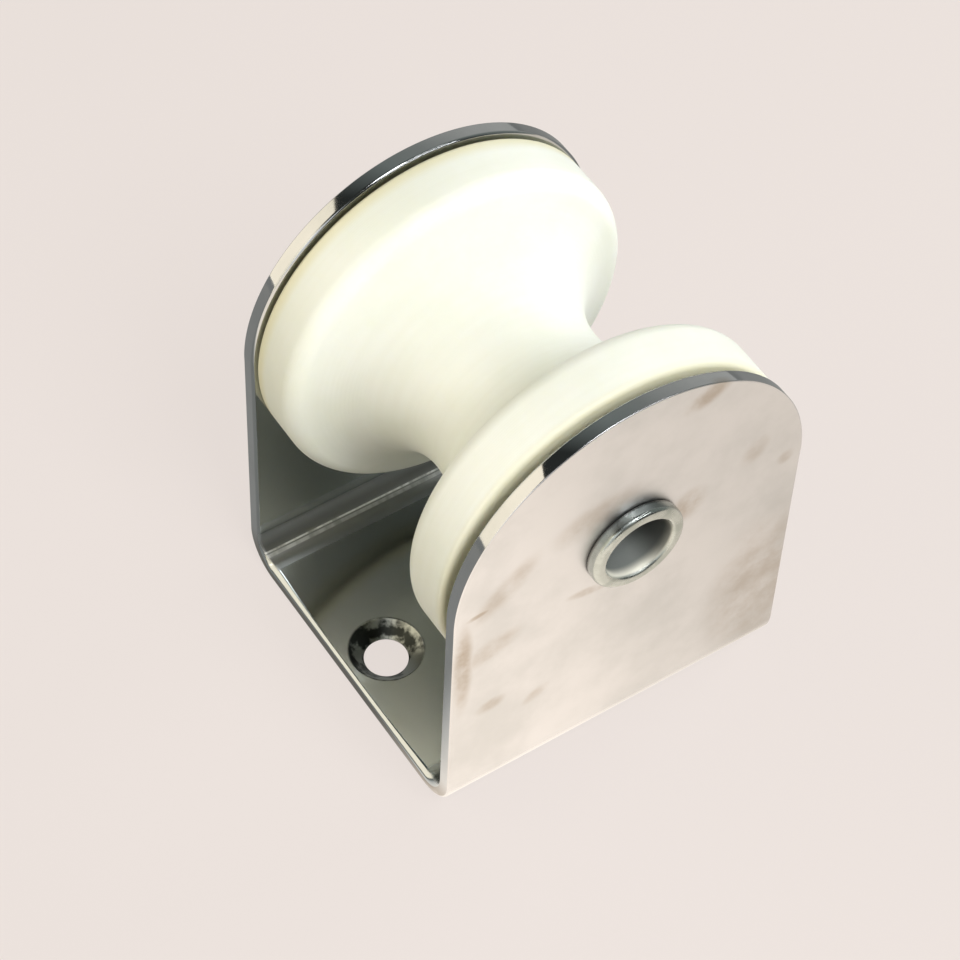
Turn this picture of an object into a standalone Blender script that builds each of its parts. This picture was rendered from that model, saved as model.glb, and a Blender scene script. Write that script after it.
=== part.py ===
"""A bow roller: a nylon rope roller that turns on a tubular axle between the cheeks of a bent stainless bracket.

The axle lies along Y, the rope or chain runs over the roller along X, and Z is up. The origin is the
centre of the base's underside. Lengths are in metres.
"""

import math

import bmesh
import bpy

MM = 0.001

# Roller: one turned piece of nylon
ROLLER_DIAMETER = 59.2 * MM
ROLLER_WIDTH = 50.4 * MM
WAIST_DIAMETER = 30.2 * MM
GROOVE_RADIUS = 15.4 * MM
RIM_SHOULDER_RADIUS = 3.2 * MM
ROLLER_END_ROUND = 1.0 * MM

# Bracket: one bent sheet, a base with a round-topped cheek at each side. The cheeks reach a little past
# the roller's rims. The clearances are the room beside each rim of a centred roller, and under the rims.
SHEET_THICKNESS = 2.5 * MM
BEND_INSIDE_RADIUS = 4.0 * MM
CHEEK_MARGIN = 0.4 * MM
SIDE_CLEARANCE = 1.05 * MM
UNDER_CLEARANCE = 15.9 * MM

# Countersunk screw holes, one near each end of the base. The inset runs from that end to the hole's centre.
SCREW_HOLE_DIAMETER = 7.0 * MM
COUNTERSINK_DIAMETER = 11.8 * MM
COUNTERSINK_ANGLE = math.radians(90.0)
SCREW_HOLE_INSET = 7.35 * MM

# Axle: a tube whose two ends are rolled over outside the cheeks into lips wider than the tube
AXLE_DIAMETER = 13.0 * MM
AXLE_WALL = 1.0 * MM
LIP_OVERHANG = 1.35 * MM
LIP_THICKNESS = 1.9 * MM
LIP_SHOULDER_RADIUS = 1.0 * MM
MOUTH_RADIUS = 0.75 * MM

# Clearances between pieces that seat on, pass through or turn on each other. The loose roller lies
# against the far cheek, so its end float is nearly all on the near side.
AXLE_SEAT_GAP = 0.3 * MM
RUNNING_GAP = 0.3 * MM
REST_GAP = 0.35 * MM

# How far a cutter reaches past what it cuts
CUTTER_MARGIN = 2.0 * MM

# Mesh fineness
BEND_SEGMENTS = 8
ARCH_SEGMENTS = 64
HOLE_SEGMENTS = 48
ROLLER_STEPS = 64
AXLE_STEPS = 48
GROOVE_SEGMENTS = 18
FILLET_SEGMENTS = 5
MERGE_DISTANCE = 0.00001

# Sizes that follow from the driving dimensions
CHEEK_RADIUS = ROLLER_DIAMETER / 2 + CHEEK_MARGIN
BASE_LENGTH = 2 * CHEEK_RADIUS
BRACKET_WIDTH = ROLLER_WIDTH + 2 * (SIDE_CLEARANCE + SHEET_THICKNESS)
BEND_OUTSIDE_RADIUS = BEND_INSIDE_RADIUS + SHEET_THICKNESS
AXLE_HEIGHT = SHEET_THICKNESS + UNDER_CLEARANCE + ROLLER_DIAMETER / 2
ROLLER_SHIFT = SIDE_CLEARANCE - REST_GAP

PIECES = "bow_roller"
CUTTERS = "bow_roller_cutters"


def clear_scene():
    for obj in list(bpy.data.objects):
        bpy.data.objects.remove(obj, do_unlink=True)


def new_collection(name):
    collection = bpy.data.collections.new(name)
    bpy.context.scene.collection.children.link(collection)
    return collection


def add_object(name, mesh, collection):
    obj = bpy.data.objects.new(name, mesh)
    collection.objects.link(obj)
    return obj


def principled(name, colour, roughness, metallic):
    material = bpy.data.materials.new(name)
    material.use_nodes = True
    shader = material.node_tree.nodes["Principled BSDF"]
    shader.inputs["Base Color"].default_value = (*colour, 1.0)
    shader.inputs["Roughness"].default_value = roughness
    shader.inputs["Metallic"].default_value = metallic
    return material


def arc(centre, radius, start, end, segments):
    """Points of an arc in a plane, with both ends."""
    points = []
    for step in range(segments + 1):
        angle = start + (end - start) * step / segments
        points.append((centre[0] + radius * math.cos(angle), centre[1] + radius * math.sin(angle)))
    return points


def smooth(obj, angle=math.radians(35.0)):
    obj.data.shade_smooth()
    obj.data.set_sharp_from_angle(angle=angle)


def polygon_prism(name, outline, start, end, collection):
    """A closed outline in the XZ plane, given anticlockwise as seen from -Y, pulled from start to end along Y."""
    shape = bmesh.new()
    near = shape.faces.new([shape.verts.new((x, start, z)) for x, z in outline])
    pulled = bmesh.ops.extrude_face_region(shape, geom=[near], use_keep_orig=True)
    far_vertices = [item for item in pulled["geom"] if isinstance(item, bmesh.types.BMVert)]
    bmesh.ops.translate(shape, verts=far_vertices, vec=(0.0, end - start, 0.0))
    bmesh.ops.recalc_face_normals(shape, faces=shape.faces)
    mesh = bpy.data.meshes.new(name)
    shape.to_mesh(mesh)
    shape.free()
    return add_object(name, mesh, collection)


def turned(name, profile, steps, closed, collection):
    """A profile of (radius, height) points, outer side from top to bottom, turned about the object's Z axis."""
    shape = bmesh.new()
    vertices = [shape.verts.new((radius, 0.0, height)) for radius, height in profile]
    for first, second in zip(vertices, vertices[1:]):
        shape.edges.new((first, second))
    if closed:
        shape.edges.new((vertices[-1], vertices[0]))
    mesh = bpy.data.meshes.new(name)
    shape.to_mesh(mesh)
    shape.free()
    obj = add_object(name, mesh, collection)
    screw = obj.modifiers.new("turn", "SCREW")
    screw.axis = "Z"
    screw.angle = 2 * math.pi
    screw.steps = steps
    screw.render_steps = steps
    screw.use_merge_vertices = True
    screw.merge_threshold = MERGE_DISTANCE
    screw.use_smooth_shade = True
    return obj


def as_cutter(obj):
    obj.hide_render = True
    obj.display_type = "WIRE"
    return obj


def cut(obj, cutter, operation):
    boolean = obj.modifiers.new(cutter.name, "BOOLEAN")
    boolean.operation = operation
    boolean.object = as_cutter(cutter)
    boolean.solver = "EXACT"


def bent_sheet(collection):
    """The outer face of the U-shaped sheet, a little too long and too tall, thickened inwards."""
    half_width = BRACKET_WIDTH / 2
    bend_centre = half_width - BEND_OUTSIDE_RADIUS
    top = AXLE_HEIGHT + CHEEK_RADIUS + CUTTER_MARGIN
    near_bend = arc((-bend_centre, BEND_OUTSIDE_RADIUS), BEND_OUTSIDE_RADIUS, math.pi, 1.5 * math.pi, BEND_SEGMENTS)
    far_bend = [(-y, z) for y, z in reversed(near_bend)]
    section = [(-half_width, top)] + near_bend + far_bend + [(half_width, top)]

    shape = bmesh.new()
    start = -BASE_LENGTH / 2 - CUTTER_MARGIN
    vertices = [shape.verts.new((start, y, z)) for y, z in section]
    edges = [shape.edges.new(pair) for pair in zip(vertices, vertices[1:])]
    pulled = bmesh.ops.extrude_edge_only(shape, edges=edges)
    end_vertices = [item for item in pulled["geom"] if isinstance(item, bmesh.types.BMVert)]
    bmesh.ops.translate(shape, verts=end_vertices, vec=(BASE_LENGTH + 2 * CUTTER_MARGIN, 0.0, 0.0))
    shape.normal_update()
    base_face = min(shape.faces, key=lambda face: face.calc_center_median().z)
    if base_face.normal.z > 0.0:
        bmesh.ops.reverse_faces(shape, faces=shape.faces)
    mesh = bpy.data.meshes.new("bracket")
    shape.to_mesh(mesh)
    shape.free()

    bracket = add_object("bracket", mesh, collection)
    solidify = bracket.modifiers.new("sheet", "SOLIDIFY")
    solidify.thickness = SHEET_THICKNESS
    solidify.offset = -1.0
    solidify.use_even_offset = True
    return bracket


def cheek_blank(collection):
    """The side view of the bracket: straight ends up to the axle's height, then a half circle."""
    below = -CUTTER_MARGIN
    top = arc((0.0, AXLE_HEIGHT), CHEEK_RADIUS, 0.0, math.pi, ARCH_SEGMENTS)
    outline = [(-CHEEK_RADIUS, below), (CHEEK_RADIUS, below)] + top
    reach = BRACKET_WIDTH / 2 + CUTTER_MARGIN
    return polygon_prism("cheek_blank", outline, -reach, reach, collection)


def axle_hole_cutter(collection):
    radius = AXLE_DIAMETER / 2 + AXLE_SEAT_GAP
    outline = arc((0.0, AXLE_HEIGHT), radius, 0.0, 2 * math.pi, HOLE_SEGMENTS)[:-1]
    reach = BRACKET_WIDTH / 2 + CUTTER_MARGIN
    return polygon_prism("axle_hole_cutter", outline, -reach, reach, collection)


def screw_hole_cutter(name, x, collection):
    """A clearance hole with a countersink that opens at the base's upper face."""
    wide = COUNTERSINK_DIAMETER / 2
    narrow = SCREW_HOLE_DIAMETER / 2
    depth = (wide - narrow) / math.tan(COUNTERSINK_ANGLE / 2)
    top = SHEET_THICKNESS + CUTTER_MARGIN
    profile = [
        (0.0, top),
        (wide, top),
        (wide, SHEET_THICKNESS),
        (narrow, SHEET_THICKNESS - depth),
        (narrow, -depth - CUTTER_MARGIN),
        (0.0, -depth - CUTTER_MARGIN),
    ]
    cutter = turned(name, profile, HOLE_SEGMENTS, False, collection)
    cutter.location = (x, 0.0, 0.0)
    return cutter


def make_bracket(pieces, cutters):
    bracket = bent_sheet(pieces)
    cut(bracket, cheek_blank(cutters), "INTERSECT")
    cut(bracket, axle_hole_cutter(cutters), "DIFFERENCE")
    hole_x = BASE_LENGTH / 2 - SCREW_HOLE_INSET
    cut(bracket, screw_hole_cutter("front_screw_hole_cutter", -hole_x, cutters), "DIFFERENCE")
    cut(bracket, screw_hole_cutter("rear_screw_hole_cutter", hole_x, cutters), "DIFFERENCE")
    bracket.data.materials.append(principled("polished_stainless_sheet", (0.62, 0.60, 0.57), 0.12, 1.0))
    smooth(bracket)
    return bracket


def roller_outline():
    """The outer side from the upper end to the lower: rim, rounded shoulder, concave groove, and its mirror."""
    rim = ROLLER_DIAMETER / 2
    waist = WAIST_DIAMETER / 2
    half_width = ROLLER_WIDTH / 2
    groove_centre = waist + GROOVE_RADIUS
    shoulder_centre = rim - RIM_SHOULDER_RADIUS
    rise = groove_centre - shoulder_centre
    shoulder_height = math.sqrt((GROOVE_RADIUS + RIM_SHOULDER_RADIUS) ** 2 - rise ** 2)
    meeting = math.atan2(-shoulder_height, rise)

    end_centre = (rim - ROLLER_END_ROUND, half_width - ROLLER_END_ROUND)
    end_round = arc(end_centre, ROLLER_END_ROUND, math.pi / 2, 0.0, FILLET_SEGMENTS)
    shoulder = arc((shoulder_centre, shoulder_height), RIM_SHOULDER_RADIUS, 0.0, meeting, FILLET_SEGMENTS)
    groove = arc((groove_centre, 0.0), GROOVE_RADIUS, meeting + math.pi, math.pi, GROOVE_SEGMENTS // 2)
    upper = end_round + shoulder + groove[1:]
    lower = [(radius, -height) for radius, height in reversed(upper[:-1])]
    return upper + lower


def make_roller(pieces):
    bore = AXLE_DIAMETER / 2 + RUNNING_GAP
    half_width = ROLLER_WIDTH / 2
    profile = roller_outline() + [(bore, -half_width), (bore, half_width)]
    roller = turned("roller", profile, ROLLER_STEPS, True, pieces)
    roller.location = (0.0, ROLLER_SHIFT, AXLE_HEIGHT)
    roller.rotation_euler = (math.pi / 2, 0.0, 0.0)
    roller.data.materials.append(principled("white_nylon", (0.90, 0.89, 0.84), 0.45, 0.0))
    return roller


def axle_profile():
    """Outer side of the tube between its two rolled lips, then the bore, as one closed loop."""
    outer = AXLE_DIAMETER / 2
    inner = outer - AXLE_WALL
    lip = outer + LIP_OVERHANG
    seat = BRACKET_WIDTH / 2 + AXLE_SEAT_GAP
    crest = seat + LIP_THICKNESS
    mouth = arc((inner + MOUTH_RADIUS, crest - MOUTH_RADIUS), MOUTH_RADIUS, math.pi, math.pi / 2, FILLET_SEGMENTS)
    shoulder_centre = (lip - LIP_SHOULDER_RADIUS, crest - LIP_SHOULDER_RADIUS)
    shoulder = arc(shoulder_centre, LIP_SHOULDER_RADIUS, math.pi / 2, 0.0, FILLET_SEGMENTS)
    upper = mouth + shoulder + [(lip, seat), (outer, seat)]
    lower = [(radius, -height) for radius, height in reversed(upper)]
    return upper + lower


def make_axle(pieces):
    axle = turned("axle_tube", axle_profile(), AXLE_STEPS, True, pieces)
    axle.location = (0.0, 0.0, AXLE_HEIGHT)
    axle.rotation_euler = (math.pi / 2, 0.0, 0.0)
    axle.data.materials.append(principled("satin_stainless_tube", (0.50, 0.50, 0.48), 0.30, 1.0))
    return axle


def main():
    clear_scene()
    pieces = new_collection(PIECES)
    cutters = new_collection(CUTTERS)
    make_bracket(pieces, cutters)
    make_axle(pieces)
    make_roller(pieces)


main()
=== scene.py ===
"""The looks of a small bow roller: a polished, bent stainless bracket, a turned white nylon roller and a
steel tube rolled over at both ends. Every place is in metres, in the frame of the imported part: +Z up, the
axle along Y."""
from math import atan2, cos, pi, radians, sin, sqrt

import bmesh
import bpy
from mathutils import Matrix, Vector


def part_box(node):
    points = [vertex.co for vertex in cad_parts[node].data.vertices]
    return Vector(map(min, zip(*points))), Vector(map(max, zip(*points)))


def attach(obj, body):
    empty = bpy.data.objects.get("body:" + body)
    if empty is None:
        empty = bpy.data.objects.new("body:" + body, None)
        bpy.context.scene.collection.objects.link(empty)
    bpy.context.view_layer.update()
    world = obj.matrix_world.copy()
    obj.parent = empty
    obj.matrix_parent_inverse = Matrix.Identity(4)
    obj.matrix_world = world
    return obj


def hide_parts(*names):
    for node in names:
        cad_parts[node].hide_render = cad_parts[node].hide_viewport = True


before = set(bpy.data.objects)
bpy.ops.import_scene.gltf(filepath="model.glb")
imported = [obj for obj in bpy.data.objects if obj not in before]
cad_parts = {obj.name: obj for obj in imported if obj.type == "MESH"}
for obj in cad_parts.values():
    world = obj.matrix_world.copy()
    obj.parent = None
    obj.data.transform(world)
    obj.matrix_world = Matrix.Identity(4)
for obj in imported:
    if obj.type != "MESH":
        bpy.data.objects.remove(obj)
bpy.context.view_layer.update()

MM = 0.001

# The bracket's box gives its main sizes.
BRACKET_LOW, BRACKET_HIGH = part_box("bracket")
BASE_LENGTH = BRACKET_HIGH.x - BRACKET_LOW.x
BRACKET_WIDTH = BRACKET_HIGH.y - BRACKET_LOW.y
CHEEK_RADIUS = BASE_LENGTH / 2
AXLE_HEIGHT = BRACKET_HIGH.z - CHEEK_RADIUS
SHEET_THICKNESS = 2.5 * MM
BEND_RADIUS = 6.5 * MM
FLAT_HALF = BRACKET_WIDTH / 2 - BEND_RADIUS
INNER_FACE = BRACKET_WIDTH / 2 - SHEET_THICKNESS
SCREW_HOLE_RADIUS = 3.5 * MM
COUNTERSINK_RADIUS = 5.9 * MM
SCREW_HOLE_PLACE = BASE_LENGTH / 2 - 7.35 * MM
AXLE_HOLE_RADIUS = 6.6 * MM
POLISHED_EDGE = 0.42 * MM
OUTER_EDGE = 0.2 * MM
BASE_END_ROUND = 0.65 * MM
CORNER_ROUND = 1.7 * MM
CORNER_FADE = 9 * MM
COUNTERSINK_EDGE = 0.12 * MM
DRILLED_EDGE = 0.03 * MM
CUT_BEYOND = 2 * MM

# The roller's box gives its two main sizes.
ROLLER_LOW, ROLLER_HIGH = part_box("roller")
ROLLER_RADIUS = (ROLLER_HIGH.z - ROLLER_LOW.z) / 2
ROLLER_HALF_WIDTH = (ROLLER_HIGH.y - ROLLER_LOW.y) / 2
ROLLER_MIDDLE = (ROLLER_HIGH.y + ROLLER_LOW.y) / 2
WAIST_RADIUS = 15.1 * MM
GROOVE_RADIUS = 15.4 * MM
RIM_SHOULDER = 3.2 * MM
ROLLER_END_ROUND = 1.0 * MM
ROLLER_BORE_RADIUS = 6.8 * MM
ROLLER_BORE_ROUND = 0.5 * MM

# The axle's box gives its length and the size of its rolled lips.
AXLE_LOW, AXLE_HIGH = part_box("axle_tube")
AXLE_HALF_LENGTH = (AXLE_HIGH.y - AXLE_LOW.y) / 2
LIP_RADIUS = (AXLE_HIGH.z - AXLE_LOW.z) / 2
TUBE_RADIUS = 6.5 * MM
TUBE_BORE_RADIUS = 5.5 * MM
LIP_OUTER_ROUND = 0.95 * MM
LIP_MOUTH_ROUND = 0.75 * MM
LIP_MOUTH_DEPTH = 1.4 * MM
LIP_FOOT_ROUND = 0.3 * MM

# How finely the round shapes are made.
ARCH_STEPS = 180
BEND_STEPS = 24
BASE_CUTS = 9
TURNED_STEPS = 192
HOLE_STEPS = 128
GROOVE_STEPS = 32
SHOULDER_STEPS = 16
ROLLER_END_STEPS = 8
BORE_ROUND_STEPS = 5
LIP_STEPS = 14
LIP_FOOT_STEPS = 4
FLOOR_STEPS = 96
EDGE_STEPS = 4
EDGE_PROFILE = 0.36
SHARP = radians(35)
FLAT_FACE_WEIGHT = 90
MERGE = 0.001 * MM

# The camera, fitted to the edges of the photographed object.
AZIMUTH = radians(-35.5)
ELEVATION = radians(52.45)
ROLL = radians(3.01)
DISTANCE = 0.4882
LENS = 121.29
SENSOR_WIDTH = 36
NEAREST = 0.01
AIMED_AT = Vector((0, 0, 0.030))
AIM_ACROSS = 5.31 * MM
AIM_UP = -0.02 * MM

# The floor: plain to the camera, and to the metal a painted pool of light before the near cheek, grey
# elsewhere.
FLOOR_RADIUS = 3
VIEW_BACKGROUND = "#EAE1DC"
FLOOR_OWN_LIGHT = 0.88
FLOOR_SHOWN_LIGHT = 0.75
POOL_BACK = -5 * MM
POOL_BACK_FADE = 30 * MM
POOL_RIGHT = -20 * MM
POOL_RIGHT_FADE = 65 * MM
# How strongly the floor glows to the metal: the painted pool of light, dimmer to its right, and grey outside
# it.
PAINTED_POOL_GLOW = 1.99
PAINTED_POOL_GLOW_RIGHT = 1.33
GREY_FLOOR = 0.34
# Tint of the painted pool of light, and of the floor outside it.
PAINTED_POOL_TINT = "#FFF1E1"
PLAIN_WHITE = "#F6F9F4"
GREY_CARD = "#8A8885"

# The room's tones, from the dark side to the light one: how far a direction turns to the light side.
TO_LIGHT_SIDE = (0.8, 0.6, 0)
ROOM_TONES = ((0.03, "#2F3230"), (0.38, "#7E8581"), (0.62, "#8A8E8A"), (0.97, "#B6B7B2"))
ROOM_LIGHT = 0.5

# Lamp sizes in metres, and the cards' colour.
TUBE_LAMP = (0.4, 0.022)
SOFTBOX = (0.3, 0.3)
CREAM = "#FFF4DC"

# The bracket's steel: its colours, how much each finish adds to its blur, and the depth of its relief.
CLEAN_STEEL = "#D0D1D4"
HAZY_STEEL = "#C1C3C5"
# Painted shade on the inner faces, low down and up the cheeks, and how much of it shows.
SHADED_LOWER_INSIDE = "#C5CACC"
SHADED_UPPER_INSIDE = "#B1B5B6"
INSIDE_SHADE_SHARE = 0.8
# Painted shade inside the bends.
PAINTED_BEND_SHADE = "#8F9190"
# Painted highlight along the bends, where they show the tube lamps.
PAINTED_BEND_HIGHLIGHT = "#F2F3F2"
# Painted shade on the base's ends, low down where they meet the floor.
PAINTED_END_SHADE = "#A19A94"
# Painted shade in the countersinks, with paler patches at random.
PAINTED_COUNTERSINK_SHADE = "#333532"
COUNTERSINK_PALER_PATCH = "#A2A59E"
HANDLING_STAIN = "#A89C8E"
CLEAN_BLUR = 0.05
HAZY_BLUR = 0.085
STAIN_BLUR = 0.14
# Extra blur on the bends' painted highlight lines.
BEND_HIGHLIGHT_BLUR = 0.1
BEND_BLUR = 0.24
UPPER_BEND_BLUR = 0.5
SCUFF_BLUR = 0.32
INSIDE_BLUR = 0.07
CUT_BLUR = 0.2
WAVE_DEPTH = 0.012 * MM
WHEEL_LINE_DEPTH = 0.0008 * MM
TOOL_RING_DEPTH = 0.03 * MM

# The roller's nylon.
NYLON = "#F1F3EA"
NYLON_BLOTCH = "#EDF0E3"
NYLON_BAND = "#EAEBDE"
BAND_SHARE = 0.3
# A cream tint towards the roller's ends, and how much of it.
NYLON_END_TINT = "#E4DEB6"
END_TINT_SHARE = 0.7
NYLON_BLUR = 0.48
NYLON_IOR = 1.53
SEE_THROUGH_SHARE = 0.2
SEE_THROUGH_DEPTH = 2.5 * MM
LATHE_RING = 0.35 * MM
LATHE_RING_SHARE = 0.35
LATHE_DEPTH = 0.01 * MM
LATHE_STRENGTH = 0.6

# The axle's steel.
SATIN_STEEL = "#B2B8B5"
DULL_STEEL = "#9FA6A2"
# Painted shade where the lip meets the cheek.
PAINTED_SEAT_SHADE = "#6E6F6B"
# Painted light at the bore's mouth, and painted shade deeper in and on one side.
PAINTED_MOUTH_LIGHT = "#F4F3E6"
PAINTED_BORE_SHADE = "#8F9491"
PAINTED_SIDE_SHADE = "#333432"
SIDE_SHADE_SHARE = 0.8
SATIN_BLUR = 0.22
DULL_BLUR = 0.34
BORE_BLUR = 0.25
BORE_METALLIC = 0.35
ROLLED_RING = 0.22 * MM
ROLLED_RING_SHARE = 0.05
DENT_DEPTH = 0.013 * MM

# Handling marks on the near cheek: place along X and Z, length, width in mm, tilt in degrees and strength.
CHEEK_MARKS = (
    (-28.3, 37.0, 21.0, 3.2, 90, 0.9),
    (-21.5, 51.5, 14.0, 5.0, 45, 0.5),
    (-26.0, 48.6, 4.5, 1.2, 8, 0.8),
    (-23.5, 38.5, 10.0, 5.0, 20, 0.5),
    (-23.1, 24.0, 5.0, 3.0, 10, 0.6),
    (-15.0, 20.6, 5.0, 2.6, 30, 0.4),
    (10.8, 73.5, 8.0, 4.0, 20, 0.75),
    (21.0, 54.5, 6.0, 4.5, 60, 0.35),
    (27.0, 49.0, 3.0, 3.0, 0, 0.4),
    (26.5, 19.0, 20.0, 34.0, 0, 0.5),
    (-6.5, 58.0, 15.0, 7.0, 10, 0.45),
    (9.8, 49.5, 7.0, 6.0, 60, 0.8),
    (-7.0, 40.6, 7.0, 2.0, -10, 0.6),
)

# Painted highlight lines inside the bends, at the angles where they show the tube lamps:
# angle round the bend from the base, half width in degrees and strength.
BEND_HIGHLIGHT_LINES = ((42.0, 2.2, 1.0), (32.5, 4.0, 0.45))


def deselect():
    """Leaves nothing selected, so that an operator acts only on what is picked after it."""
    for each in bpy.context.selected_objects:
        each.select_set(False)


def take(obj):
    """Makes this the only selected object and the active one."""
    deselect()
    obj.select_set(True)
    bpy.context.view_layer.objects.active = obj


def pick(obj, kind, wanted):
    """In edit mode, selects the vertices, edges or faces whose middle passes a test."""
    bpy.ops.mesh.select_mode(type=kind)
    bpy.ops.mesh.select_all(action="DESELECT")
    mesh = bmesh.from_edit_mesh(obj.data)
    parts = {"VERT": mesh.verts, "EDGE": mesh.edges, "FACE": mesh.faces}[kind]
    for part in parts:
        corners = [part.co] if kind == "VERT" else [corner.co for corner in part.verts]
        if wanted(sum(corners, Vector()) / len(corners)):
            part.select_set(True)
    mesh.select_flush_mode()
    bmesh.update_edit_mesh(obj.data)


def modify(obj, kind, **settings):
    """Adds a modifier with its settings and applies it."""
    take(obj)
    modifier = obj.modifiers.new(kind.lower(), kind)
    for name, value in settings.items():
        setattr(modifier, name, value)
    bpy.ops.object.modifier_apply(modifier=modifier.name)


def settle(obj, name):
    """Names a finished piece and puts its place into its mesh."""
    take(obj)
    bpy.ops.object.transform_apply(location=True, rotation=True, scale=True)
    obj.name = name
    obj.data.name = name
    return obj


def arc(centre, radius, start, end, steps):
    """Points of an arc in a turned outline's plane, as (place along the axle, distance from it)."""
    angles = [start + (end - start) * i / steps for i in range(steps + 1)]
    return [(centre[0] + radius * cos(a), centre[1] + radius * sin(a)) for a in angles]


def mirrored(points):
    """The other half of an outline that is the same on both sides of its middle."""
    return [(-along, radius) for along, radius in reversed(points)]


def turn(name, outline):
    """A turned piece about the axle: a ring that is pulled along a closed outline, point by point."""
    place, radius = outline[0]
    bpy.ops.mesh.primitive_circle_add(
        vertices=TURNED_STEPS, radius=radius, location=(0, place, AXLE_HEIGHT), rotation=(pi / 2, 0, 0),
    )
    piece = settle(bpy.context.object, name)
    bpy.ops.object.mode_set(mode="EDIT")
    bpy.ops.mesh.select_mode(type="VERT")
    bpy.ops.mesh.select_all(action="SELECT")
    for next_place, next_radius in outline[1:]:
        step = (0, next_place - place, 0)
        share = next_radius / radius
        centre = (0, next_place, AXLE_HEIGHT)
        bpy.ops.mesh.extrude_region_move(TRANSFORM_OT_translate={"value": step})
        bpy.ops.transform.resize(value=(share, 1, share), center_override=centre)
        place, radius = next_place, next_radius
    bpy.ops.mesh.select_all(action="SELECT")
    bpy.ops.mesh.remove_doubles(threshold=MERGE)
    bpy.ops.mesh.normals_make_consistent(inside=False)
    bpy.ops.object.mode_set(mode="OBJECT")
    bpy.ops.object.shade_smooth_by_angle(angle=SHARP)
    return piece


def bent_strip():
    """The outer skin of the sheet: flat base, a bend at each side and round-topped cheeks."""
    bpy.ops.mesh.primitive_plane_add(size=1)
    strip = bpy.context.object
    strip.scale = (BASE_LENGTH, 2 * FLAT_HALF, 1)
    settle(strip, "bracket_sheet")
    bpy.ops.object.mode_set(mode="EDIT")
    for side in (-1, 1):
        seam = side * FLAT_HALF
        face = side * BRACKET_WIDTH / 2
        pick(strip, "EDGE", lambda middle: abs(middle.y - seam) < MERGE)
        bpy.ops.mesh.spin(
            steps=BEND_STEPS, angle=-side * pi / 2, center=(0, seam, BEND_RADIUS), axis=(1, 0, 0),
        )
        pick(strip, "EDGE", lambda middle: abs(middle.y - face) < MERGE and middle.z < BEND_RADIUS + MERGE)
        rise = (0, 0, AXLE_HEIGHT - BEND_RADIUS)
        bpy.ops.mesh.extrude_region_move(TRANSFORM_OT_translate={"value": rise})
        pick(
            strip, "VERT",
            lambda corner: corner.x < 0 and side * corner.y > 0 and corner.z > AXLE_HEIGHT - MERGE,
        )
        bpy.ops.mesh.spin(steps=ARCH_STEPS, angle=-pi, center=(0, face, AXLE_HEIGHT), axis=(0, 1, 0))
        bpy.ops.mesh.select_all(action="SELECT")
        bpy.ops.mesh.remove_doubles(threshold=MERGE)
        pick(strip, "EDGE", lambda middle: side * middle.y > 0 and middle.z > AXLE_HEIGHT - MERGE)
        bpy.ops.mesh.edge_face_add()
    bpy.ops.mesh.select_all(action="SELECT")
    bpy.ops.mesh.normals_make_consistent(inside=False)
    bpy.ops.object.mode_set(mode="OBJECT")
    return strip


def countersunk_cutter(place):
    """What a drill and a countersink take out of the base: a straight hole that widens to the top."""
    depth = COUNTERSINK_RADIUS - SCREW_HOLE_RADIUS
    start = SHEET_THICKNESS - depth
    bpy.ops.mesh.primitive_cylinder_add(
        vertices=HOLE_STEPS, radius=SCREW_HOLE_RADIUS, depth=start + CUT_BEYOND,
        location=(place, 0, (start - CUT_BEYOND) / 2),
    )
    cutter = settle(bpy.context.object, "countersunk_cutter")
    bpy.ops.object.mode_set(mode="EDIT")
    pick(cutter, "FACE", lambda middle: middle.z > start - MERGE)
    widened = (COUNTERSINK_RADIUS + CUT_BEYOND) / SCREW_HOLE_RADIUS
    rise = depth + CUT_BEYOND
    bpy.ops.mesh.extrude_region_move(TRANSFORM_OT_translate={"value": (0, 0, rise)})
    bpy.ops.transform.resize(value=(widened, widened, 1), center_override=(place, 0, start + rise))
    bpy.ops.object.mode_set(mode="OBJECT")
    return cutter


def axle_hole_cutter():
    """A long cylinder along the axle's line, through both cheeks."""
    bpy.ops.mesh.primitive_cylinder_add(
        vertices=HOLE_STEPS, radius=AXLE_HOLE_RADIUS, depth=BRACKET_WIDTH + 2 * CUT_BEYOND,
        location=(0, 0, AXLE_HEIGHT), rotation=(pi / 2, 0, 0),
    )
    return settle(bpy.context.object, "axle_hole_cutter")


def edge_round(middle):
    """The radius that polishing leaves on an edge at this place: wider along the top of the base's ends, and
    widest at their corners, where the wheel rolls over into the bend."""
    if Vector((abs(middle.x) - SCREW_HOLE_PLACE, middle.y)).length < COUNTERSINK_RADIUS + MERGE:
        return COUNTERSINK_EDGE if middle.z > SHEET_THICKNESS - MERGE else DRILLED_EDGE
    inside = abs(middle.y) < INNER_FACE + MERGE
    if not inside and middle.z > BEND_RADIUS:
        return OUTER_EDGE
    over_base = middle.z > SHEET_THICKNESS - MERGE and middle.z < BEND_RADIUS
    if abs(middle.x) < BASE_LENGTH / 2 - MERGE or not inside or not over_base:
        return POLISHED_EDGE
    beyond = abs(middle.y) - FLAT_HALF
    if beyond > 0:
        share = max(0, 1 - beyond / (BEND_RADIUS - SHEET_THICKNESS))
        return POLISHED_EDGE + (CORNER_ROUND - POLISHED_EDGE) * share
    share = max(0, 1 + beyond / CORNER_FADE)
    return BASE_END_ROUND + (CORNER_ROUND - BASE_END_ROUND) * share ** 2


def weigh_edges(obj):
    """Gives each sharp edge its share of the widest round, which the bevel follows."""
    weights = obj.data.attributes.new("bevel_weight_edge", "FLOAT", "EDGE")
    mesh = bmesh.new()
    mesh.from_mesh(obj.data)
    for edge in mesh.edges:
        if len(edge.link_faces) == 2 and edge.calc_face_angle() > SHARP:
            middle = (edge.verts[0].co + edge.verts[1].co) / 2
            weights.data[edge.index].value = edge_round(middle) / CORNER_ROUND
    mesh.free()


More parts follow.
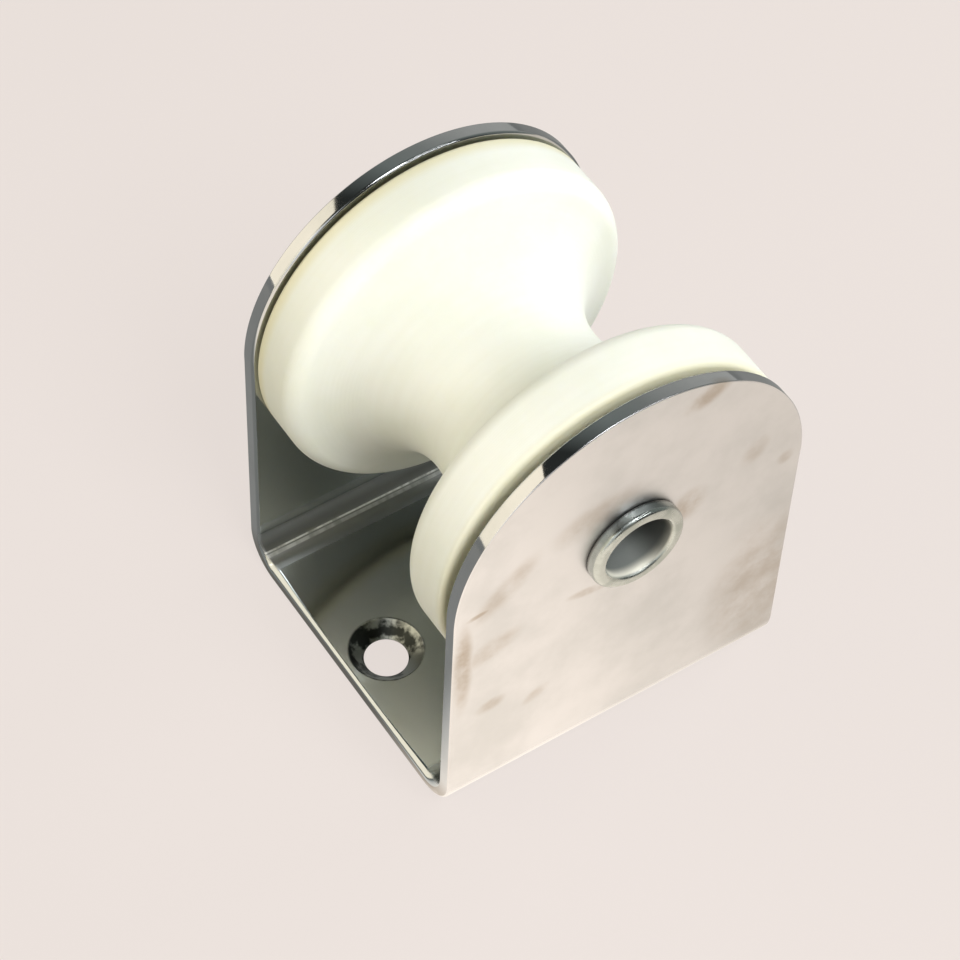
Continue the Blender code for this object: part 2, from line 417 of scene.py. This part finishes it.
def make_bracket():
    """The bent sheet with its thickness, its holes and the small round that polishing leaves on each edge."""
    bracket = bent_strip()
    modify(bracket, "SOLIDIFY", thickness=SHEET_THICKNESS, offset=-1, use_even_offset=True)
    bpy.ops.object.mode_set(mode="EDIT")
    for step in range(-BASE_CUTS, BASE_CUTS + 1):
        place = FLAT_HALF * step / (BASE_CUTS + 1)
        bpy.ops.mesh.select_all(action="SELECT")
        bpy.ops.mesh.bisect(plane_co=(0, place, 0), plane_no=(0, 1, 0))
    bpy.ops.object.mode_set(mode="OBJECT")
    cutters = [
        countersunk_cutter(-SCREW_HOLE_PLACE), countersunk_cutter(SCREW_HOLE_PLACE), axle_hole_cutter(),
    ]
    for cutter in cutters:
        modify(bracket, "BOOLEAN", object=cutter, operation="DIFFERENCE", solver="EXACT")
        bpy.data.objects.remove(cutter)
    weigh_edges(bracket)
    modify(
        bracket, "BEVEL", width=CORNER_ROUND, segments=EDGE_STEPS, profile=EDGE_PROFILE,
        limit_method="WEIGHT", use_clamp_overlap=False,
    )
    take(bracket)
    bpy.ops.object.shade_smooth()
    modify(bracket, "WEIGHTED_NORMAL", keep_sharp=True, weight=FLAT_FACE_WEIGHT)
    return settle(bracket, "bracket_polished")


def roller_outline():
    """The roller's section: a deep round groove between two rims, closed along the bore."""
    reach = GROOVE_RADIUS + RIM_SHOULDER
    drop = WAIST_RADIUS + GROOVE_RADIUS - ROLLER_RADIUS + RIM_SHOULDER
    shoulder_place = sqrt(reach ** 2 - drop ** 2)
    to_groove = atan2(drop, shoulder_place)
    end_centre = (-ROLLER_HALF_WIDTH + ROLLER_END_ROUND, ROLLER_RADIUS - ROLLER_END_ROUND)
    shoulder_centre = (-shoulder_place, ROLLER_RADIUS - RIM_SHOULDER)
    groove_centre = (0, WAIST_RADIUS + GROOVE_RADIUS)
    near_half = arc(end_centre, ROLLER_END_ROUND, pi, pi / 2, ROLLER_END_STEPS)
    near_half += arc(shoulder_centre, RIM_SHOULDER, pi / 2, to_groove, SHOULDER_STEPS)
    near_half += arc(groove_centre, GROOVE_RADIUS, to_groove + pi, 1.5 * pi, GROOVE_STEPS)[1:]
    bore_centre = (ROLLER_HALF_WIDTH - ROLLER_BORE_ROUND, ROLLER_BORE_RADIUS + ROLLER_BORE_ROUND)
    bore = arc(bore_centre, ROLLER_BORE_ROUND, 0, -pi / 2, BORE_ROUND_STEPS)
    section = near_half + mirrored(near_half[:-1]) + bore + mirrored(bore) + near_half[:1]
    return [(ROLLER_MIDDLE + along, radius) for along, radius in section]


def axle_outline():
    """The tube's section: a straight wall between two lips rolled outwards over the cheeks."""
    seat = -BRACKET_WIDTH / 2
    face = -AXLE_HALF_LENGTH
    foot_centre = (seat - LIP_FOOT_ROUND, LIP_RADIUS - LIP_FOOT_ROUND)
    outer_centre = (face + LIP_OUTER_ROUND, LIP_RADIUS - LIP_OUTER_ROUND)
    near_half = [(seat + LIP_FOOT_ROUND, TUBE_RADIUS), (seat, TUBE_RADIUS + LIP_FOOT_ROUND)]
    near_half += arc(foot_centre, LIP_FOOT_ROUND, 0, pi / 2, LIP_FOOT_STEPS)
    near_half += arc(outer_centre, LIP_OUTER_ROUND, pi / 2, pi, LIP_STEPS)
    near_half += [
        (face + LIP_MOUTH_DEPTH * (1 + along), TUBE_BORE_RADIUS + LIP_MOUTH_ROUND * (1 + out))
        for along, out in arc((0, 0), 1, pi, 1.5 * pi, LIP_STEPS)
    ]
    return near_half + mirrored(near_half) + near_half[:1]


def linear(code):
    """An sRGB hex colour as linear light."""
    shares = [int(code[i:i + 2], 16) / 255 for i in (1, 3, 5)]
    return (*[s / 12.92 if s <= 0.04045 else ((s + 0.055) / 1.055) ** 2.4 for s in shares], 1)


def new_material(name):
    """An empty node material and its tree."""
    material = bpy.data.materials.new(name)
    material.use_nodes = True
    material.node_tree.nodes.clear()
    return material, material.node_tree


def add(tree, kind, inputs, **settings):
    """Adds a node with its settings, and gives its inputs a value or a link from another node's output."""
    made = tree.nodes.new("ShaderNode" + kind)
    for name, value in settings.items():
        setattr(made, name, value)
    for socket, value in inputs.items():
        if isinstance(value, bpy.types.NodeSocket):
            tree.links.new(value, made.inputs[socket])
        else:
            made.inputs[socket].default_value = value
    return made


# The sockets of a Mix node that is set to colours.
MIX_SHARE, MIX_FROM, MIX_TO, MIX_OUT = 0, 6, 7, 2


def blend(tree, share, first, second):
    """A colour between two, each a hex code or another node's output."""
    start, end = [linear(each) if isinstance(each, str) else each for each in (first, second)]
    inputs = {MIX_SHARE: share, MIX_FROM: start, MIX_TO: end}
    return add(tree, "Mix", inputs, data_type="RGBA").outputs[MIX_OUT]


def calculate(tree, operation, *values):
    """What a Math node makes of up to three values."""
    return add(tree, "Math", dict(enumerate(values)), operation=operation).outputs[0]


def ramp(tree, value, start, end, low=0, high=1, easing="LINEAR"):
    """A value that goes evenly from low to high while another goes from start to end."""
    inputs = {"Value": value, "From Min": start, "From Max": end, "To Min": low, "To Max": high}
    return add(tree, "MapRange", inputs, interpolation_type=easing).outputs[0]


def fade(tree, value, start, end, low=0, high=1):
    """The same with soft ends."""
    return ramp(tree, value, start, end, low, high, "SMOOTHSTEP")


def noise(tree, place, scale, detail, roughness=0.5):
    """Cloudy noise about a middle of one half."""
    inputs = {"Vector": place, "Scale": scale, "Detail": detail, "Roughness": roughness}
    return add(tree, "TexNoise", inputs).outputs[0]


def times(tree, vector, factors):
    """A vector with each of its three values multiplied."""
    return add(tree, "VectorMath", {0: vector, 1: factors}, operation="MULTIPLY").outputs[0]


def length_of(tree, vector):
    """How long a vector is."""
    return add(tree, "VectorMath", {0: vector}, operation="LENGTH").outputs["Value"]


def together(tree, first, second):
    """Two values as the first two of a vector."""
    return add(tree, "CombineXYZ", {"X": first, "Y": second}).outputs[0]


def largest(tree, shares):
    """The largest of several values."""
    result = shares[0]
    for share in shares[1:]:
        result = calculate(tree, "MAXIMUM", result, share)
    return result


def raised(tree, height, depth, strength=1, **under):
    """A bump of this depth, over another bump's normal where one is given."""
    inputs = {"Height": height, "Strength": strength, "Distance": depth}
    inputs.update(under)
    return add(tree, "Bump", inputs).outputs[0]


def object_place(tree):
    """The place in the object's own space, whole and split into its three axes."""
    place = add(tree, "TexCoord", {}).outputs["Object"]
    return place, add(tree, "SeparateXYZ", {"Vector": place}).outputs


def marks(tree, place, spots):
    """How far a point lies in any of the placed marks, from 0 to 1: soft ellipses on the near cheek."""
    shares = []
    for x, z, length, width, tilt, strength in spots:
        spot = {
            "Vector": place, "Location": (x * MM, 0, z * MM), "Rotation": (0, radians(-tilt), 0),
            "Scale": (length * MM / 2, 1, width * MM / 2),
        }
        from_spot = add(tree, "Mapping", spot, vector_type="TEXTURE").outputs[0]
        far = length_of(tree, times(tree, from_spot, (1, 0, 1)))
        shares.append(fade(tree, far, 1.3, 0.35, high=strength))
    return largest(tree, shares)


def polished_stainless():
    """Austenitic stainless sheet, ground and mirror polished. Inside it shows its surroundings almost
    sharply. Fine scuffs blur them on the outer faces, and there are soft waves in the sheet, a faint haze,
    brown handling stains, duller bends and freshly cut countersinks. Painted shade darkens the inner faces,
    the bends, the countersinks and the foot of the base's ends, and painted highlights run along the bends."""
    material, tree = new_material("mirror_polished_stainless")
    place, axes = object_place(tree)
    along = calculate(tree, "ABSOLUTE", axes["X"])
    outwards = calculate(tree, "ABSOLUTE", axes["Y"])

    # A haze over all of it, and stains on the near cheek's outer face.
    haze = fade(tree, noise(tree, place, 55, 5, 0.6), 0.35, 0.75)
    broken = fade(tree, noise(tree, place, 210, 6, 0.6), 0.25, 0.7, low=0.15)
    near_face = -BRACKET_WIDTH / 2
    outer_side = ramp(tree, axes["Y"], near_face + 1.2 * MM, near_face + 0.4 * MM)
    stained = calculate(tree, "MULTIPLY", marks(tree, place, CHEEK_MARKS), outer_side)
    stain = calculate(tree, "MULTIPLY", stained, broken)

    # The inside of each bend, where the wheel doesn't reach, is duller,
    # and its darker colour is painted shade in the crease.
    past_flat = calculate(tree, "SUBTRACT", outwards, FLAT_HALF)
    below_cheek = calculate(tree, "SUBTRACT", BEND_RADIUS, axes["Z"])
    from_bend_centre = length_of(tree, together(tree, past_flat, below_cheek))
    inner_radius = BEND_RADIUS - SHEET_THICKNESS
    in_bend = ramp(tree, from_bend_centre, inner_radius + 0.4 * MM, inner_radius + 0.15 * MM)
    into_bend = calculate(tree, "MINIMUM", past_flat, below_cheek)
    bend_shade_fade = fade(tree, into_bend, 0, 2.2 * MM)
    # How much painted shade the bend gets.
    skin = calculate(tree, "MULTIPLY", in_bend, bend_shade_fade)
    bend_angle = calculate(tree, "ARCTAN2", past_flat, below_cheek)
    upper_blur = fade(tree, bend_angle, radians(45), radians(65), BEND_BLUR, UPPER_BEND_BLUR)
    blur_fade = fade(tree, into_bend, -1.0 * MM, -0.1 * MM, high=upper_blur)
    bend_blur = calculate(tree, "MULTIPLY", in_bend, blur_fade)

    # Thin painted highlight lines along each bend, where it shows the tube lamps, broken along their length.
    lines = []
    for angle, half_width, strength in BEND_HIGHLIGHT_LINES:
        in_line = calculate(tree, "COMPARE", bend_angle, radians(angle), radians(half_width))
        lines.append(calculate(tree, "MULTIPLY", in_line, strength))
    line_breaks = noise(tree, times(tree, place, (900, 300, 300)), 1, 3)
    line_share = ramp(tree, line_breaks, 0.35, 0.6, low=0.35)
    broken_highlight_lines = calculate(tree, "MULTIPLY", largest(tree, lines), line_share)
    bend_highlight = calculate(tree, "MULTIPLY", broken_highlight_lines, in_bend)

    # The base's ends are painted darker towards the bottom, as painted shade where they meet the floor.
    end_face = ramp(tree, along, BASE_LENGTH / 2 - 0.08 * MM, BASE_LENGTH / 2 - 0.02 * MM)
    low_down = fade(tree, axes["Z"], 9 * MM, 2 * MM)
    end_shade = calculate(tree, "MULTIPLY", end_face, low_down)

    # The countersinks, cut after polishing: duller, with rings and chatter from the tool, and painted dark as
    # painted shade in the hollow, with paler patches at random.
    from_hole = calculate(tree, "SUBTRACT", along, SCREW_HOLE_PLACE)
    hole_radius = length_of(tree, together(tree, from_hole, axes["Y"]))
    in_hole = ramp(tree, hole_radius, COUNTERSINK_RADIUS + 0.3 * MM, COUNTERSINK_RADIUS - 0.1 * MM)
    above_foot = calculate(tree, "GREATER_THAN", axes["Z"], 0.05 * MM)
    cut = calculate(tree, "MULTIPLY", in_hole, above_foot)
    around_hole = calculate(tree, "ARCTAN2", axes["Y"], from_hole)
    tool_place = times(tree, together(tree, hole_radius, around_hole), (3500, 2.5, 0))
    tool_rings = calculate(tree, "MULTIPLY", noise(tree, tool_place, 1, 3), cut)
    paler_patches = fade(tree, noise(tree, place, 230, 5, 0.55), 0.46, 0.57)
    countersink_shade = blend(tree, paler_patches, PAINTED_COUNTERSINK_SHADE, COUNTERSINK_PALER_PATCH)

    # The inner faces are duller than the rest, and painted a little darker as painted shade, most of all up
    # the cheeks.
    inward = ramp(tree, outwards, INNER_FACE + 0.6 * MM, INNER_FACE + 0.2 * MM, high=INSIDE_SHADE_SHARE)
    up_cheek = fade(tree, axes["Z"], SHEET_THICKNESS, BEND_RADIUS)
    painted_inside_shade = blend(tree, up_cheek, SHADED_LOWER_INSIDE, SHADED_UPPER_INSIDE)

    colour = blend(tree, haze, CLEAN_STEEL, HAZY_STEEL)
    colour = blend(tree, inward, colour, painted_inside_shade)
    colour = blend(tree, skin, colour, PAINTED_BEND_SHADE)
    colour = blend(tree, bend_highlight, colour, PAINTED_BEND_HIGHLIGHT)
    colour = blend(tree, end_shade, colour, PAINTED_END_SHADE)
    colour = blend(tree, cut, colour, countersink_shade)
    colour = blend(tree, stain, colour, HANDLING_STAIN)

    outer_face = BRACKET_WIDTH / 2
    scuffed = ramp(tree, outwards, outer_face - 0.25 * MM, outer_face - 0.02 * MM, high=SCUFF_BLUR)
    blur = ramp(tree, haze, 0, 1, CLEAN_BLUR, HAZY_BLUR)
    blur = calculate(tree, "MULTIPLY_ADD", stain, STAIN_BLUR, blur)
    blur = calculate(tree, "MULTIPLY_ADD", bend_highlight, BEND_HIGHLIGHT_BLUR, blur)
    blur = calculate(tree, "ADD", bend_blur, blur)
    blur = calculate(tree, "ADD", scuffed, blur)
    blur = calculate(tree, "MULTIPLY_ADD", inward, INSIDE_BLUR, blur)
    blur = calculate(tree, "MULTIPLY_ADD", cut, CUT_BLUR, blur)

    # Waves about 9 mm long from the rolling, the wheel's fine lines along the sheet, and the tool's rings.
    relief = raised(tree, noise(tree, place, 110, 2), WAVE_DEPTH)
    wheel_lines = noise(tree, times(tree, place, (150, 3000, 3000)), 1, 3)
    relief = raised(tree, wheel_lines, WHEEL_LINE_DEPTH, Normal=relief)
    relief = raised(tree, tool_rings, TOOL_RING_DEPTH, Normal=relief)
    shader = add(
        tree, "BsdfPrincipled", {"Base Color": colour, "Metallic": 1, "Roughness": blur, "Normal": relief},
    )
    add(tree, "OutputMaterial", {"Surface": shader.outputs[0]})
    return material


def turned_nylon():
    """Natural white nylon, turned on a lathe: a soft, slightly see-through white with a matt sheen, fine
    rings and faint bands from the tool and a cream tint towards its ends."""
    material, tree = new_material("turned_white_nylon")
    place, axes = object_place(tree)
    outwards = calculate(tree, "ABSOLUTE", axes["Y"])
    blotches = fade(tree, noise(tree, place, 70, 4, 0.55), 0.35, 0.7)
    bands = ramp(tree, noise(tree, times(tree, place, (60, 950, 60)), 1, 3), 0.4, 0.75, high=BAND_SHARE)
    at_end = fade(
        tree, outwards, ROLLER_HALF_WIDTH - 2.4 * MM, ROLLER_HALF_WIDTH - 0.2 * MM, high=END_TINT_SHARE,
    )
    colour = blend(tree, blotches, NYLON, NYLON_BLOTCH)
    colour = blend(tree, bands, colour, NYLON_BAND)
    colour = blend(tree, at_end, colour, NYLON_END_TINT)
    rings = calculate(tree, "SINE", calculate(tree, "MULTIPLY", axes["Y"], 2 * pi / LATHE_RING))
    height = calculate(tree, "MULTIPLY_ADD", rings, LATHE_RING_SHARE, noise(tree, place, 1500, 3))
    relief = raised(tree, height, LATHE_DEPTH, LATHE_STRENGTH)
    shader = add(
        tree, "BsdfPrincipled", {
            "Base Color": colour, "Roughness": NYLON_BLUR, "IOR": NYLON_IOR, "Normal": relief,
            "Subsurface Weight": SEE_THROUGH_SHARE, "Subsurface Radius": (1.0, 0.9, 0.7),
            "Subsurface Scale": SEE_THROUGH_DEPTH,
        },
    )
    add(tree, "OutputMaterial", {"Surface": shader.outputs[0]})
    return material


def rolled_steel():
    """Stainless tube, drawn and rolled over by a press: a soft satin grey with faint rings round the lip from
    the roll, dull patches and shallow dents, painted shade at the seat where the lip meets the cheek, and a
    dull bore painted pale at its mouth as painted light, with painted shade deeper in and on one side."""
    material, tree = new_material("rolled_satin_steel")
    place, axes = object_place(tree)
    outwards = calculate(tree, "ABSOLUTE", axes["Y"])
    above_axle = calculate(tree, "SUBTRACT", axes["Z"], AXLE_HEIGHT)
    radius = length_of(tree, together(tree, axes["X"], above_axle))

    patches = fade(tree, noise(tree, place, 380, 4, 0.6), 0.38, 0.68)
    # Painted shade at the seat where the lip meets the cheek.
    seat = BRACKET_WIDTH / 2
    at_seat = fade(tree, outwards, seat + 0.7 * MM, seat + 0.2 * MM)
    outer = calculate(tree, "GREATER_THAN", radius, TUBE_RADIUS - 0.1 * MM)
    seat_shade = calculate(tree, "MULTIPLY", at_seat, outer)

    # The bore: painted light at its mouth, painted shade deeper in and on its +X side.
    past_mouth = fade(tree, outwards, AXLE_HALF_LENGTH - 0.15 * MM, AXLE_HALF_LENGTH - 0.7 * MM)
    wall = calculate(tree, "LESS_THAN", radius, TUBE_BORE_RADIUS + LIP_MOUTH_ROUND)
    in_bore = calculate(tree, "MULTIPLY", past_mouth, wall)
    deeper_in = fade(tree, outwards, AXLE_HALF_LENGTH - 0.8 * MM, AXLE_HALF_LENGTH - 2.2 * MM)
    bore_light_and_shade = blend(tree, deeper_in, PAINTED_MOUTH_LIGHT, PAINTED_BORE_SHADE)
    shaded_side = fade(tree, axes["X"], 0.5 * MM, 5 * MM, high=SIDE_SHADE_SHARE)
    bore_side_shade = calculate(tree, "MULTIPLY", in_bore, shaded_side)

    colour = blend(tree, patches, SATIN_STEEL, DULL_STEEL)
    colour = blend(tree, seat_shade, colour, PAINTED_SEAT_SHADE)
    colour = blend(tree, in_bore, colour, bore_light_and_shade)
    colour = blend(tree, bore_side_shade, colour, PAINTED_SIDE_SHADE)
    blur = ramp(tree, patches, 0, 1, SATIN_BLUR, DULL_BLUR)
    blur = calculate(tree, "MULTIPLY_ADD", in_bore, BORE_BLUR, blur)
    metallic = ramp(tree, in_bore, 0, 1, 1, BORE_METALLIC)
    rings = calculate(tree, "SINE", calculate(tree, "MULTIPLY", radius, 2 * pi / ROLLED_RING))
    height = calculate(tree, "MULTIPLY_ADD", rings, ROLLED_RING_SHARE, noise(tree, place, 420, 2))
    relief = raised(tree, height, DENT_DEPTH)
    shader = add(
        tree, "BsdfPrincipled", {
            "Base Color": colour, "Metallic": metallic, "Roughness": blur, "Normal": relief,
        },
    )
    add(tree, "OutputMaterial", {"Surface": shader.outputs[0]})
    return material


def matt_floor():
    """Plain pale card. To the camera most of its light is its own, which keeps it even and its shadow soft.
    The metal shows it glowing white in a painted pool of light before the near cheek, and grey behind that."""
    material, tree = new_material("pale_card")
    path = add(tree, "LightPath", {}).outputs
    seen, in_metal = path["Is Camera Ray"], path["Is Glossy Ray"]
    axes = object_place(tree)[1]
    # Painted light: the floor glows to the metal as a pool of light before the near cheek, dimmer to the
    # right.
    fall_off = fade(
        tree, axes["X"], POOL_RIGHT, POOL_RIGHT + POOL_RIGHT_FADE, PAINTED_POOL_GLOW, PAINTED_POOL_GLOW_RIGHT,
    )
    in_pool = fade(tree, axes["Y"], POOL_BACK, POOL_BACK - POOL_BACK_FADE)
    pool = ramp(tree, in_pool, 0, 1, GREY_FLOOR, fall_off)
    glow = ramp(tree, in_metal, 0, 1, 1, pool)
    own_colour = blend(tree, in_metal, VIEW_BACKGROUND, blend(tree, in_pool, PLAIN_WHITE, PAINTED_POOL_TINT))
    own_share = calculate(tree, "MULTIPLY", seen, FLOOR_OWN_LIGHT)
    own_share = calculate(tree, "MULTIPLY_ADD", in_metal, FLOOR_SHOWN_LIGHT, own_share)
    lit = add(tree, "BsdfDiffuse", {"Color": blend(tree, seen, GREY_CARD, VIEW_BACKGROUND)})
    own = add(tree, "Emission", {"Color": own_colour, "Strength": glow})
    both = add(tree, "MixShader", {0: own_share, 1: lit.outputs[0], 2: own.outputs[0]})
    add(tree, "OutputMaterial", {"Surface": both.outputs[0]})
    return material


def make_floor():
    """A wide plain floor under the bracket's base."""
    bpy.ops.mesh.primitive_circle_add(vertices=FLOOR_STEPS, radius=FLOOR_RADIUS, fill_type="NGON")
    floor = settle(bpy.context.object, "floor")
    floor.data.materials.append(matt_floor())


def make_world():
    """A dim studio: nearly black on the left and the camera's side, grey behind on the right, and the plain
    background to the camera."""
    world = bpy.data.worlds.new("studio")
    bpy.context.scene.world = world
    world.use_nodes = True
    tree = world.node_tree
    tree.nodes.clear()
    direction = add(tree, "TexCoord", {}).outputs["Generated"]
    across = add(tree, "VectorMath", {0: direction, 1: TO_LIGHT_SIDE}, operation="DOT_PRODUCT")
    share = ramp(tree, across.outputs["Value"], -1, 1)
    room = add(tree, "ValToRGB", {"Fac": share})
    tones = room.color_ramp.elements
    while len(tones) < len(ROOM_TONES):
        tones.new(1)
    for tone, (turned, code) in zip(tones, ROOM_TONES):
        tone.position = (1 + turned) / 2
        tone.color = linear(code)
    path = add(tree, "LightPath", {}).outputs
    strength = ramp(tree, path["Is Glossy Ray"], 0, 1, ROOM_LIGHT, 1)
    dim = add(tree, "Background", {"Color": room.outputs[0], "Strength": strength})
    plain = add(tree, "Background", {"Color": linear(VIEW_BACKGROUND), "Strength": 1})
    both = add(tree, "MixShader", {0: path["Is Camera Ray"], 1: dim.outputs[0], 2: plain.outputs[0]})
    add(tree, "OutputWorld", {"Surface": both.outputs[0]})


def put_at(obj, place, across, up, back):
    """Links a lamp or a camera to the scene at a place, with its three axes along these directions."""
    bpy.context.scene.collection.objects.link(obj)
    directions = Matrix((across, up, back)).transposed().to_4x4()
    obj.matrix_world = Matrix.Translation(place) @ directions


def make_lamp(name, towards, distance, size, strength, in_metal=True, on_matt=True, colour="#FFFFFF"):
    """A flat lamp that faces the object. Strength is the share of plain white light that it gives a face
    turned to it."""
    data = bpy.data.lights.new(name, "AREA")
    data.shape = "RECTANGLE"
    data.size, data.size_y = size
    data.energy = strength * pi ** 2 * distance ** 2
    data.color = linear(colour)[:3]
    lamp = bpy.data.objects.new(name, data)
    back = Vector(towards).normalized()
    across = Vector((0, 0, 1)).cross(back).normalized()
    place = Vector((0, 0, AXLE_HEIGHT)) + back * distance
    put_at(lamp, place, across, back.cross(across), back)
    lamp.visible_glossy = in_metal
    lamp.visible_diffuse = on_matt


def make_lamps():
    """Two thin tubes overhead on the camera's side and two cream cards low on the left, for all of it, two
    white cards that only the metal shows, and four softboxes that it doesn't show."""
    make_lamp("upper_tube", (0.30, -0.45, 0.84), 0.6, TUBE_LAMP, 0.06)
    make_lamp("lower_tube", (0.33, -0.76, 0.57), 0.6, TUBE_LAMP, 0.10)
    make_lamp("left_card", (-0.72, 0.52, 0.36), 0.6, (0.7, 0.49), 0.42, colour=CREAM)
    make_lamp("front_left_card", (-0.92, -0.22, 0.36), 0.6, (0.5, 0.45), 0.24, colour=CREAM)
    make_lamp("right_softbox", (0.98, 0.02, 0.20), 0.65, SOFTBOX, 0.76, in_metal=False)
    make_lamp("top_softbox", (0, -0.55, 0.83), 0.65, SOFTBOX, 0.70, in_metal=False)
    make_lamp("top_card", (0.02, -0.55, 0.83), 0.65, (0.2, 0.14), 0.17, on_matt=False)
    make_lamp("front_card", (-0.62, -0.70, 0.33), 0.6, (0.36, 0.4), 0.13, on_matt=False)
    make_lamp("front_softbox", (-0.08, -0.97, 0.20), 0.65, SOFTBOX, 0.39, in_metal=False)
    make_lamp("back_left_softbox", (-0.78, 0.45, 0.42), 0.65, SOFTBOX, 0.10, in_metal=False)


def make_camera():
    """The camera at the photograph's angle, turned a little about its own line of sight."""
    back = Vector((sin(AZIMUTH) * cos(ELEVATION), -cos(AZIMUTH) * cos(ELEVATION), sin(ELEVATION)))
    level = Vector((0, 0, 1)).cross(back).normalized()
    upright = back.cross(level)
    across = cos(ROLL) * level + sin(ROLL) * upright
    up = cos(ROLL) * upright - sin(ROLL) * level
    data = bpy.data.cameras.new("camera")
    data.lens = LENS
    data.sensor_width = SENSOR_WIDTH
    data.clip_start = NEAREST
    camera = bpy.data.objects.new("camera", data)
    place = AIMED_AT - across * AIM_ACROSS - up * AIM_UP + back * DISTANCE
    put_at(camera, place, across, up, back)
    bpy.context.scene.camera = camera


def dress(piece, material, body, node):
    """Gives a finished piece its material, and its place in the assembly."""
    piece.data.materials.clear()
    piece.data.materials.append(material)
    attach(piece, body)
    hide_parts(node)


deselect()
make_camera()
dress(make_bracket(), polished_stainless(), "bracket", "bracket")
dress(turn("roller_turned", roller_outline()), turned_nylon(), "roller", "roller")
dress(turn("axle_rolled", axle_outline()), rolled_steel(), "bracket", "axle_tube")
make_floor()
make_world()
make_lamps()
bpy.context.scene.view_settings.view_transform = "Standard"
